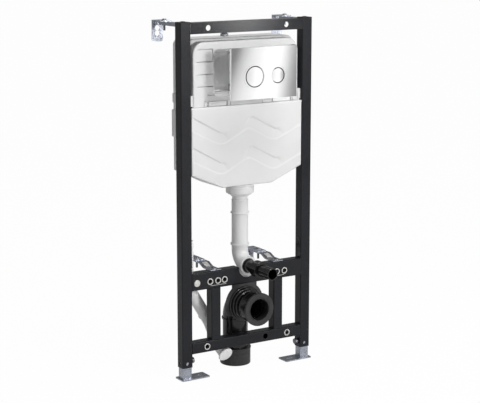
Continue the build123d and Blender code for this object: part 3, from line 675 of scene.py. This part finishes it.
UPPER_ZIGZAG = [(-213, 868), (-103, 807), (-78, 812), (4, 852), (19, 852), (107, 806), (130, 812), (213, 855)]
CRISP = [(-213, -103), (17, 107)]
LOWER_ZIGZAG = smoothed([(-213, 818), (-122, 773), (-108, 768), (-90, 768), (-78, 772), (-12, 807), (-4, 811),
                         (8, 811), (18, 807), (80, 773), (92, 768), (112, 768), (124, 772), (213, 812)], 2)
BAND_STEP, BAND_DEPTH, BAND_SHALLOW = 97.0, 2.2, 0.75
LOW_SLOPE, CRISP_SLOPE, SOFT_SLOPE = 6.0, 2.0, 42.0


def chevron(x, z):
    """How far the front is pressed in at this place by the two zigzag bands. Each band has a crisp
    upper edge where CRISP says so, and fades out elsewhere."""
    depth = 0.0
    for drop in (0.0, BAND_STEP):
        top, low = height_on(UPPER_ZIGZAG, x) - drop, height_on(LOWER_ZIGZAG, x) - drop
        beside = min(max(start - x, x - end, 0.0) for start, end in CRISP)
        slope = CRISP_SLOPE + SOFT_SLOPE * soft_step(beside / SOFT_SLOPE)
        share = min(max((z - low) / (top - low), 0.0), 1.0)
        pressed = BAND_SHALLOW + (BAND_DEPTH - BAND_SHALLOW) * share
        depth = max(depth, pressed * soft_step((z - low) / LOW_SLOPE) * soft_step((top - z) / slope))
    return depth


def cistern_front_shell():
    half, top, low, shoulder, flat = 211.4, 892.4, 626.0, 675.0, 95.0
    corner, back_y = 5.0, 59.6
    columns, rows = 211, 134
    slope = (shoulder - low) / (half - flat)
    lean = math.hypot(1.0, slope)

    def front(i, j):
        x = -half + 2 * half * i / columns
        bottom = low if abs(x) <= flat else low + (abs(x) - flat) * slope
        z = bottom + (top - bottom) * j / rows
        edge = min(half - abs(x), top - z, z - low, (z - bottom) / lean if abs(x) > flat else z - low)
        back = corner - math.sqrt(max(corner ** 2 - max(corner - edge, 0.0) ** 2, 0.0))
        if abs(z - top) < 6.0:
            back *= 0.4
        return at(x, back + chevron(x, z) * soft_step((edge - 1.0) / 5.0), z)

    shell = sheet_slab("shell", columns, rows, front, back_y)
    lugs = [block(side * 205.8 - 5.6, 10.0, 892.0, side * 205.8 + 5.6, 36.0, 930.8, 1.2) for side in SIDES]
    finish_mesh("cistern_front_shell", joined("cistern_front_shell", [shell, *lugs]), FRONT_WHITE, "frame",
                "cistern_front", smooth=40)


RECESS_Z, RECESS_HALF_X, RECESS_HALF_Z = 999.5, 112.0, 69.0


def flare(spread):
    """A tapering block that opens the service recess towards the room, with round corners."""
    mouth = round_cornered(RECESS_HALF_X + 13.0 * spread, RECESS_HALF_Z + 7.0 * spread, 17.0)
    throat = round_cornered(RECESS_HALF_X, RECESS_HALF_Z, 5.0)
    return lofted("flare", [at(x, 8.5, z + RECESS_Z) for x, z in mouth],
                  [at(x, 30.0, z + RECESS_Z) for x, z in throat])


def hood_shell():
    grooves = [ROW.mesh("grooves", WHITE, Count=4, Start=at(side * 156.0, 9.0, 957.5),
                        Step=Vector((0, 0, 0.0396)), Bar=Vector((0.058, 0.014, 0.0030))) for side in SIDES]
    grooves.append(ROW.mesh("groove", WHITE, Count=1, Start=at(-133.0, 9.0, 929.5), Step=Vector((0, 0, 0)),
                            Bar=Vector((0.026, 0.006, 0.0032))))
    grooves.append(ROW.mesh("groove", WHITE, Count=2, Start=at(-127.4, 9.0, 1056.0),
                            Step=Vector((0.2548, 0, 0)), Bar=Vector((0.0036, 0.008, 0.040))))
    pockets = [block(low, 5.0, 890.0, high, 12.0, 911.0, 0) for low, high in ((-160.0, -60.0), (60.0, 180.0))]
    shell = written("hood", cad_copy("cistern_hood"))
    done = cut(rounded(shell, 0.9), [flare(1.0), *grooves, *pockets])
    finish_mesh("cistern_hood_shell", done, HOOD_WHITE, "frame", "cistern_hood", smooth=38)
    tabs = [block(low, 9.2, 893.5, high, 14.0, 909.0, 1.0) for low, high in
            ((-158.5, -148.0), (-143.2, -76.0), (-71.2, -61.5), (61.5, 97.4), (102.2, 170.0), (174.6, 178.5))]
    finish_mesh("hood_tabs", joined("hood_tabs", tabs), WHITE, "frame")


TANK_DRAFT, TANK_FRONT_Y, TANK_SIDES_FROM = 0.035, 43.0, 190.0


def tank_shell():
    source = cad_copy("tank")
    for v in source.verts:
        x, y = v.co.x / MM - MIDDLE_X, v.co.y / MM + WALL_Y
        if abs(x) > TANK_SIDES_FROM:
            v.co.x -= math.copysign(TANK_DRAFT * (y - TANK_FRONT_Y), x) * MM
    seam = joined("seam", [block(-201.0, 100.0, 1103.8, 201.0, 101.6, 1108.0, 0),
                           block(-202.0, 100.0, 690.0, -194.8, 101.6, 1080.0, 0),
                           block(194.8, 100.0, 690.0, 202.0, 101.6, 1080.0, 0)])
    done = cut(rounded(written("tank", source), 4.0, 50, 3), [seam])
    finish_mesh("tank_shell", done, WHITE, "frame", "tank", smooth=38)
    ribs = ROW.mesh("ribs", WHITE, Count=7, Start=at(-150, 143.6, 880), Step=Vector((0.05, 0, 0)),
                    Bar=Vector((0.008, 0.0034, 0.34)))
    belts = ROW.mesh("belts", WHITE, Count=3, Start=at(0, 143.4, 760), Step=Vector((0, 0, 0.12)),
                     Bar=Vector((0.34, 0.003, 0.008)))
    finish_mesh("tank_back_ribs", rounded(joined("tank_back_ribs", [ribs, belts]), 1.2), WHITE, "frame")
    grips, lugs = [], []
    for side in SIDES:
        grip, lug = sorted((side * 194.0, side * 203.5)), sorted((side * 194.0, side * 200.5))
        grips.append(block(grip[0], 121.0, 785.0, grip[1], 144.0, 875.0, 3.4))
        lugs.append(block(lug[0], 122.0, 897.0, lug[1], 142.0, 927.0, 1.0))
    finish_mesh("tank_side_grips", joined("tank_side_grips", grips), WHITE, "frame", "side_grips")
    finish_mesh("tank_side_lugs", joined("tank_side_lugs", lugs), RECESS, "frame")


def inlet_on_top():
    x, y, foot = -22, 110, 1106
    body = hex_block(x, y, foot, 8.0, 15.0)
    neck = turned([(7.0, 18.0), (8.9, 18.0), (9.6, 17.2), (9.6, 8.0), (7.0, 8.0)], at(x, y, foot), UP, 40)
    ridge = thread(standing(x, y, foot + 9.0), 0.0096, 0.0082, 6.0, 0.0004)
    finish_mesh("inlet_hexagon", joined("inlet_hexagon", [body, neck, ridge]), BOLT, "frame", "inlet_fitting")


def service_recess():
    done = cut(written("lining", cad_copy("service_box")), [flare(1.6)])
    finish_mesh("service_box_lining", done, RECESS, "frame", "service_box", smooth=30)
    ledges = [block(low, 44.0, 934.5, high, 66.0, 939.0, 1.0)
              for low, high in ((-109.0, -70.0), (70.0, 109.0))]
    finish_mesh("recess_ledges", joined("recess_ledges", ledges), WHITE, "frame")


# Flush plate

PLATE_HALF_X, PLATE_HALF_Z, PLATE_Z = 123.0, 82.5, 1003.5
PLATE_Y, PLATE_SAG = -99.0, 2.2
SURROUND_RADII = (39.8, 31.0)


def plate_front(x):
    """Where the curved face of the plate stands in y at this place."""
    return PLATE_Y + PLATE_SAG * (x / PLATE_HALF_X) ** 2


def flush_plate_cover():
    columns, rows, back_y, hollow_y = 60, 24, -86.1, -95.9

    def front(i, j):
        x = -PLATE_HALF_X + 2 * PLATE_HALF_X * i / columns
        return at(x, plate_front(x), PLATE_Z - PLATE_HALF_Z + 2 * PLATE_HALF_Z * j / rows)

    slab = sheet_slab("slab", columns, rows, front, back_y)
    hollow = block(-120.0, hollow_y, 924.0, 120.0, -80.0, 1083.0, 0)
    holes = [turned([(0, -30), (radius, -30), (radius, 30), (0, 30)], at(x, -97, BUTTON_Z), (0, 1, 0))
             for x, radius in BUTTONS]
    done = cut(rounded(slab, 0.5, 60), [hollow, *holes])
    finish_mesh("flush_plate_cover", done, CHROME, "frame", "flush_plate", smooth=12)
    rings, gap_shade_rings = [], []
    for (x, hole), ring in zip(BUTTONS, SURROUND_RADII):
        face = at(x, plate_front(x), BUTTON_Z)
        rings.append(turned([(ring - 0.6, -0.3), (ring - 0.3, 0.12), (ring + 0.3, 0.12), (ring + 0.6, -0.3)],
                            face, TO_ROOM))
        # Each button gets a black ring that fills the gap round it and reaches past it: painted shade
        # standing in for the dark gap.
        gap_shade_rings.append(turned([(hole - 0.5, -3.0), (hole - 0.5, 0.1), (hole + 2.2, 0.25), (hole + 2.5, -3.0)],
                              face, TO_ROOM))
    finish_mesh("button_surround_rings", joined("button_surround_rings", rings), CHROME, "frame")
    finish_mesh("button_gap_shade_rings", joined("button_gap_shade_rings", gap_shade_rings), BORE_AND_GAP_SHADE, "frame")


def flush_button(word, x, radius):
    """A button on its rod, with its cap slightly curved across."""
    edge, sag, face_y, rod_y = radius - 0.8, 0.55, -98.6, -96.0
    cap = [(0, 0.0), (edge * 0.33, 0.0), (edge * 0.66, 0.0), (edge - 0.4, 0.0), (edge - 0.1, -0.15),
           (edge, -0.6), (edge, -4.9), (4.1, -4.95), (4.1, -5.2), (4.0, -5.2), (4.0, -150.6), (3.5, -151.0),
           (0, -151.0)]
    mesh = turned(cap, at(x, face_y, BUTTON_Z), TO_ROOM)
    for v in mesh.vertices:
        if v.co.y < at(x, rod_y, 0).y:
            v.co.y += sag * ((v.co.x - at(x, 0, 0).x) / (radius * MM)) ** 2 * MM
    finish_mesh(f"{word}_button_turned", mesh, CHROME, f"{word}_button", f"{word}_flush_button", smooth=12)


def plate_back():
    dressed("plate_carrier", "frame", RECESS, 0.6)
    dressed("plate_stays", "frame", ZINC, 0.5)


# Flush pipe

def flush_pipe_run():
    nut = [(25.6, 0.0), (29.4, 0.0), (30.2, 0.8), (31.0, 3.0), (41.0, 8.0), (45.4, 11.6), (46.5, 14.6),
           (46.5, 32.4), (44.6, 33.0), (44.6, 41.9), (25.6, 41.9)]
    finish_mesh("outlet_nut_turned", turned(nut, at(0, PIPE_Y, 584), UP), PIPE_WHITE, "frame", "outlet_nut",
                smooth=30)
    pipe = [(24.7, 0.0), (27.0, 0.0), (27.3, 0.4), (27.3, 99.0), (28.2, 100.6), (28.2, 102.0), (30.4, 102.4),
            (31.0, 103.0), (31.0, 105.4), (30.4, 106.2), (27.9, 106.6), (27.3, 107.6), (27.3, 144.0),
            (28.0, 146.4), (27.6, 148.0), (25.4, 148.2), (25.4, 201.9), (24.7, 201.9)]
    finish_mesh("flush_pipe_turned", turned(pipe, at(0, PIPE_Y, 424), UP), PIPE_WHITE, "frame", "flush_pipe",
                smooth=30)
    dressed("flush_elbow", "frame", PIPE_WHITE, 0.8)
    dressed("pipe_saddle", "frame", PIPE_WHITE, 0.8)
    outlet = at(0, 0, FLUSH_Z)
    connector = [(16.5, 149.0), (17.2, 149.0), (19.0, 149.0), (20.0, 147.8), (20.0, 131.0), (19.4, 130.6),
                 (19.4, 128.6), (20.0, 128.2), (20.0, 84.6), (22.0, 84.4), (27.2, 84.0), (28.0, 83.0),
                 (28.0, 53.0), (27.2, 52.0), (20.0, 52.0), (20.0, -15.6), (19.2, -16.0), (16.5, -16.0)]
    finish_mesh("flush_connector_turned", turned(connector, outlet, TO_ROOM), BLACK, "frame",
                "flush_connector", smooth=30)
    seal = [(20.05, 4.0), (24.6, 4.0), (24.6, -1.4), (20.05, -1.4)]
    finish_mesh("flush_seal_turned", turned(seal, outlet, TO_ROOM), RUBBER, "frame", "flush_seal")


# Waste

def waste_run():
    dressed("waste_elbow", "frame", PIPE_BLACK, 0.7)
    mouth = at(0, 0, WASTE_Z)
    ribs = [turned([(42.4, a - 3.4), (radius - 1.6, a - 3.4), (radius, a - 2.0), (radius, a + 1.2),
                    (radius - 1.2, a + 2.6), (radius - 4.0, a + 3.4), (42.4, a + 3.4)], mouth, TO_ROOM)
            for radius, a in ((52.5, 8.0), (56.5, -5.0), (61.0, -16.0))]
    ribs += [turned([(49.9, a - 1.6), (51.0, a - 1.0), (51.0, a + 1.0), (49.9, a + 1.6)], mouth, TO_ROOM)
             for a in (30.0, 60.0)]
    finish_mesh("waste_socket_ribs", joined("waste_socket_ribs", ribs), PIPE_BLACK, "frame")
    seal = [(36.0, 72.5), (37.2, 72.5), (38.4, 71.4), (39.4, 71.4), (41.0, 72.5), (53.6, 72.5), (55.5, 70.8),
            (55.5, 66.8), (54.8, 66.05), (46.4, 66.0), (46.4, 44.0), (36.0, 44.0)]
    finish_mesh("waste_seal_turned", turned(seal, mouth, TO_ROOM, 120), RUBBER, "frame", "waste_seal",
                smooth=30)
    adaptor = [(48.0, 0.0), (50.3, 0.0), (51.5, 1.4), (51.5, 38.6), (50.9, 39.2), (50.9, 40.4), (51.5, 41.0),
               (51.5, 50.6), (52.4, 51.6), (53.0, 52.6), (53.0, 57.2), (52.2, 58.0), (42.55, 58.0),
               (42.55, 50.0), (48.0, 50.0)]
    finish_mesh("waste_adaptor_turned", turned(adaptor, at(0, 79, 4), UP, 120), ADAPTOR, "frame",
                "waste_adaptor", smooth=30)


def conduit_run():
    dressed("conduit", "frame", CONDUIT, 0.5)
    cap = [(0, 4.0), (22.0, 3.8), (24.6, 3.0), (25.5, 1.4), (25.5, -1.0), (24.4, -2.2), (20.4, -2.6),
           (20.4, -0.3), (17.0, -0.3), (17.0, -7.8), (0, -7.8)]
    finish_mesh("conduit_cap_turned", turned(cap, at(-71.0, 27.0, 55.5), (3.0, -43.0, -23.5), 64), CONDUIT,
                "frame", "conduit_cap", smooth=30)
    band = [(20.2, -2.5), (21.4, -2.5), (21.4, 2.5), (20.2, 2.5)]
    straps = []
    for x, z, way in ((-185.0, 330.0, UP), (-120.8, 189.0, (81.0, 0, -135.0))):
        straps.append(turned(band, at(x, 80.0, z), way, 64))
        straps.append(block(x - 2.5, 40.2, z - 2.5, x + 2.5, 59.4, z + 2.5, 0.6))
    finish_mesh("conduit_straps", joined("conduit_straps", straps), CONDUIT, "frame", "conduit_clips",
                smooth=30)


painted_steel()
rail_inserts()
legs_and_feet()
wall_brackets()
cistern_front_shell()
hood_shell()
tank_shell()
inlet_on_top()
service_recess()
flush_plate_cover()
flush_button("full", *FULL_BUTTON)
flush_button("half", *HALF_BUTTON)
plate_back()
flush_pipe_run()
waste_run()
conduit_run()


# Studio

SKY, FLOOR_GLOW, MIRRORED = 0.165, 0.98, 0.4


def seen_directly(tree):
    """1 for the camera's own rays and less for mirrored ones."""
    path = tree.nodes.new("ShaderNodeLightPath")
    duller = tree.nodes.new("ShaderNodeMath")
    duller.operation = "MULTIPLY"
    duller.inputs[1].default_value = MIRRORED
    tree.links.new(path.outputs["Is Glossy Ray"], duller.inputs[0])
    either = tree.nodes.new("ShaderNodeMath")
    either.operation = "MAXIMUM"
    tree.links.new(path.outputs["Is Camera Ray"], either.inputs[0])
    tree.links.new(duller.outputs[0], either.inputs[1])
    return either.outputs[0]


def pale_floor():
    plane = bpy.data.meshes.new("floor")
    reach, low = 30.0, at(0, 0, 0).z - 0.0005
    corners = [(-reach, -reach, low), (reach, -reach, low), (reach, reach, low), (-reach, reach, low)]
    plane.from_pydata(corners, [], [(0, 1, 2, 3)])
    coat = bpy.data.materials.new("pale_floor")
    coat.use_nodes = True
    tree = coat.node_tree
    paper = tree.nodes["Principled BSDF"]
    paper.inputs["Base Color"].default_value = (0.86, 0.86, 0.86, 1)
    paper.inputs["Roughness"].default_value = 0.9
    glow = tree.nodes.new("ShaderNodeEmission")
    share = tree.nodes.new("ShaderNodeMath")
    share.operation = "MULTIPLY"
    share.inputs[1].default_value = FLOOR_GLOW
    tree.links.new(seen_directly(tree), share.inputs[0])
    mix = tree.nodes.new("ShaderNodeMixShader")
    tree.links.new(share.outputs[0], mix.inputs["Fac"])
    tree.links.new(paper.outputs[0], mix.inputs[1])
    tree.links.new(glow.outputs[0], mix.inputs[2])
    tree.links.new(mix.outputs[0], tree.nodes["Material Output"].inputs["Surface"])
    plane.materials.append(coat)
    floor = placed("floor", plane)


def soft_sky():
    world = bpy.data.worlds.new("studio")
    bpy.context.scene.world = world
    world.use_nodes = True
    sky = world.node_tree
    plain = sky.nodes["Background"]
    plain.inputs["Strength"].default_value = SKY
    bright = sky.nodes.new("ShaderNodeBackground")
    bright.inputs["Strength"].default_value = 1.0
    for shade in (plain, bright):
        shade.inputs["Color"].default_value = (1, 1, 1, 1)
    choose = sky.nodes.new("ShaderNodeMixShader")
    sky.links.new(seen_directly(sky), choose.inputs["Fac"])
    sky.links.new(plain.outputs[0], choose.inputs[1])
    sky.links.new(bright.outputs[0], choose.inputs[2])
    sky.links.new(choose.outputs[0], sky.nodes["World Output"].inputs["Surface"])


# Each card is (low corner, high corner, strength, ramps), and each ramp (lean, stops).
LEFT_FADE = [(0.0, 1.0), (0.13, 0.9), (0.18, 0.2), (0.235, 0.2), (0.258, 0.26), (0.291, 0.50), (0.328, 0.66),
             (0.37, 0.79), (0.44, 0.92), (0.50, 1.0), (1.0, 1.0)]
RIGHT_FADE = [(0.0, 1.0), (0.585, 1.0), (0.63, 0.78), (0.675, 0.50), (0.71, 0.34), (0.76, 0.24), (1.0, 0.22)]
UPPER_GLOW = [(0.0, 0.25), (0.25, 0.25), (0.29, 0.0), (0.38, 0.0), (0.45, 0.3), (0.51, 1.0), (0.57, 0.3),
              (0.64, 0.0), (1.0, 0.0)]
CARDS = {
    "wide_card": ((660, -2600, 60), (2660, -2600, 880), 1.3, [(0.8, LEFT_FADE), (0.4, RIGHT_FADE)]),
    "upper_card": ((600, -2600, 880), (2600, -2600, 1500), 13.0, [(0.0, UPPER_GLOW)]),
    "dark_flag": ((-1600, 2300, 0), (3600, 2300, 2600), 0.28, [(0.0, [(0.0, 1.0), (1.0, 0.7)])]),
}
LEAN_Z = 690


def mirror_card(name, low, high, strength, ramps):
    """A studio card that only mirrored rays see. Each ramp shades it from left to right, and its
    lines lean by that share of the height above LEAN_Z."""
    plane = bpy.data.meshes.new(name)
    (x0, y0, z0), (x1, y1, z1) = low, high
    corners = [at(x0, y0, z0), at(x1, y1, z0), at(x1, y1, z1), at(x0, y0, z1)]
    plane.from_pydata([tuple(c) for c in corners], [], [(0, 1, 2, 3)])
    card = placed(name, plane)
    card.visible_camera = card.visible_diffuse = card.visible_shadow = card.visible_transmission = False
    glow = Finish(name, (0, 0, 0))
    across, height = [glow.node("ShaderNodeSeparateXYZ", {}, {0: glow.place}, axis) for axis in ("X", "Z")]
    shade = None
    for lean, stops in ramps:
        along = across + (at(0, 0, LEAN_Z).z - height) * lean
        share = glow.span(along, at(x0, 0, 0).x, at(x1, 0, 0).x, 0.0, 1.0)
        greys = [(spot, (value, value, value)) for spot, value in stops]
        ramp = glow.node("ShaderNodeValToRGB", {"stops": greys}, {0: share})
        shade = ramp if shade is None else shade * ramp
    light = glow.node("ShaderNodeEmission", {}, {"Color": shade, "Strength": strength})
    glow.tree.links.new(light.socket, glow.tree.nodes["Material Output"].inputs["Surface"])
    glow.tree.nodes.remove(glow.surface)
    plane.materials.append(glow.material)


LAMPS = {  # place from the aim in metres, size in metres, power in watts
    "key": ((1.08, -3.85, 1.12), 0.85, 84),
    "fill": ((-3.9, -0.7, 0.9), 2.5, 12),
    "top": ((0.3, -1.2, 3.3), 1.6, 66),
}
LAMP_AIM = at(0, 0, 650)


def lamp(name, away, size, power):
    light = bpy.data.lights.new(name, "AREA")
    light.shape, light.size, light.energy = "DISK", size, power
    holder = placed(name, light)
    holder.location = LAMP_AIM + Vector(away)
    holder.rotation_euler = (-Vector(away)).to_track_quat("-Z", "Y").to_euler()


def camera():
    data = bpy.data.cameras.new("camera")
    data.sensor_width, data.lens = 36.0, 108.46
    data.clip_end = 100.0
    holder = placed("camera", data)
    holder.location = at(-2489.8, -3927.9, 1486.1)
    holder.rotation_euler = (math.radians(90 - 11.12), 0, math.radians(-32.05))
    bpy.context.scene.camera = holder


pale_floor()
soft_sky()
for name, settings in LAMPS.items():
    lamp(name, *settings)
for name, settings in CARDS.items():
    mirror_card(name, *settings)
camera()
bpy.context.scene.view_settings.view_transform = "Standard"
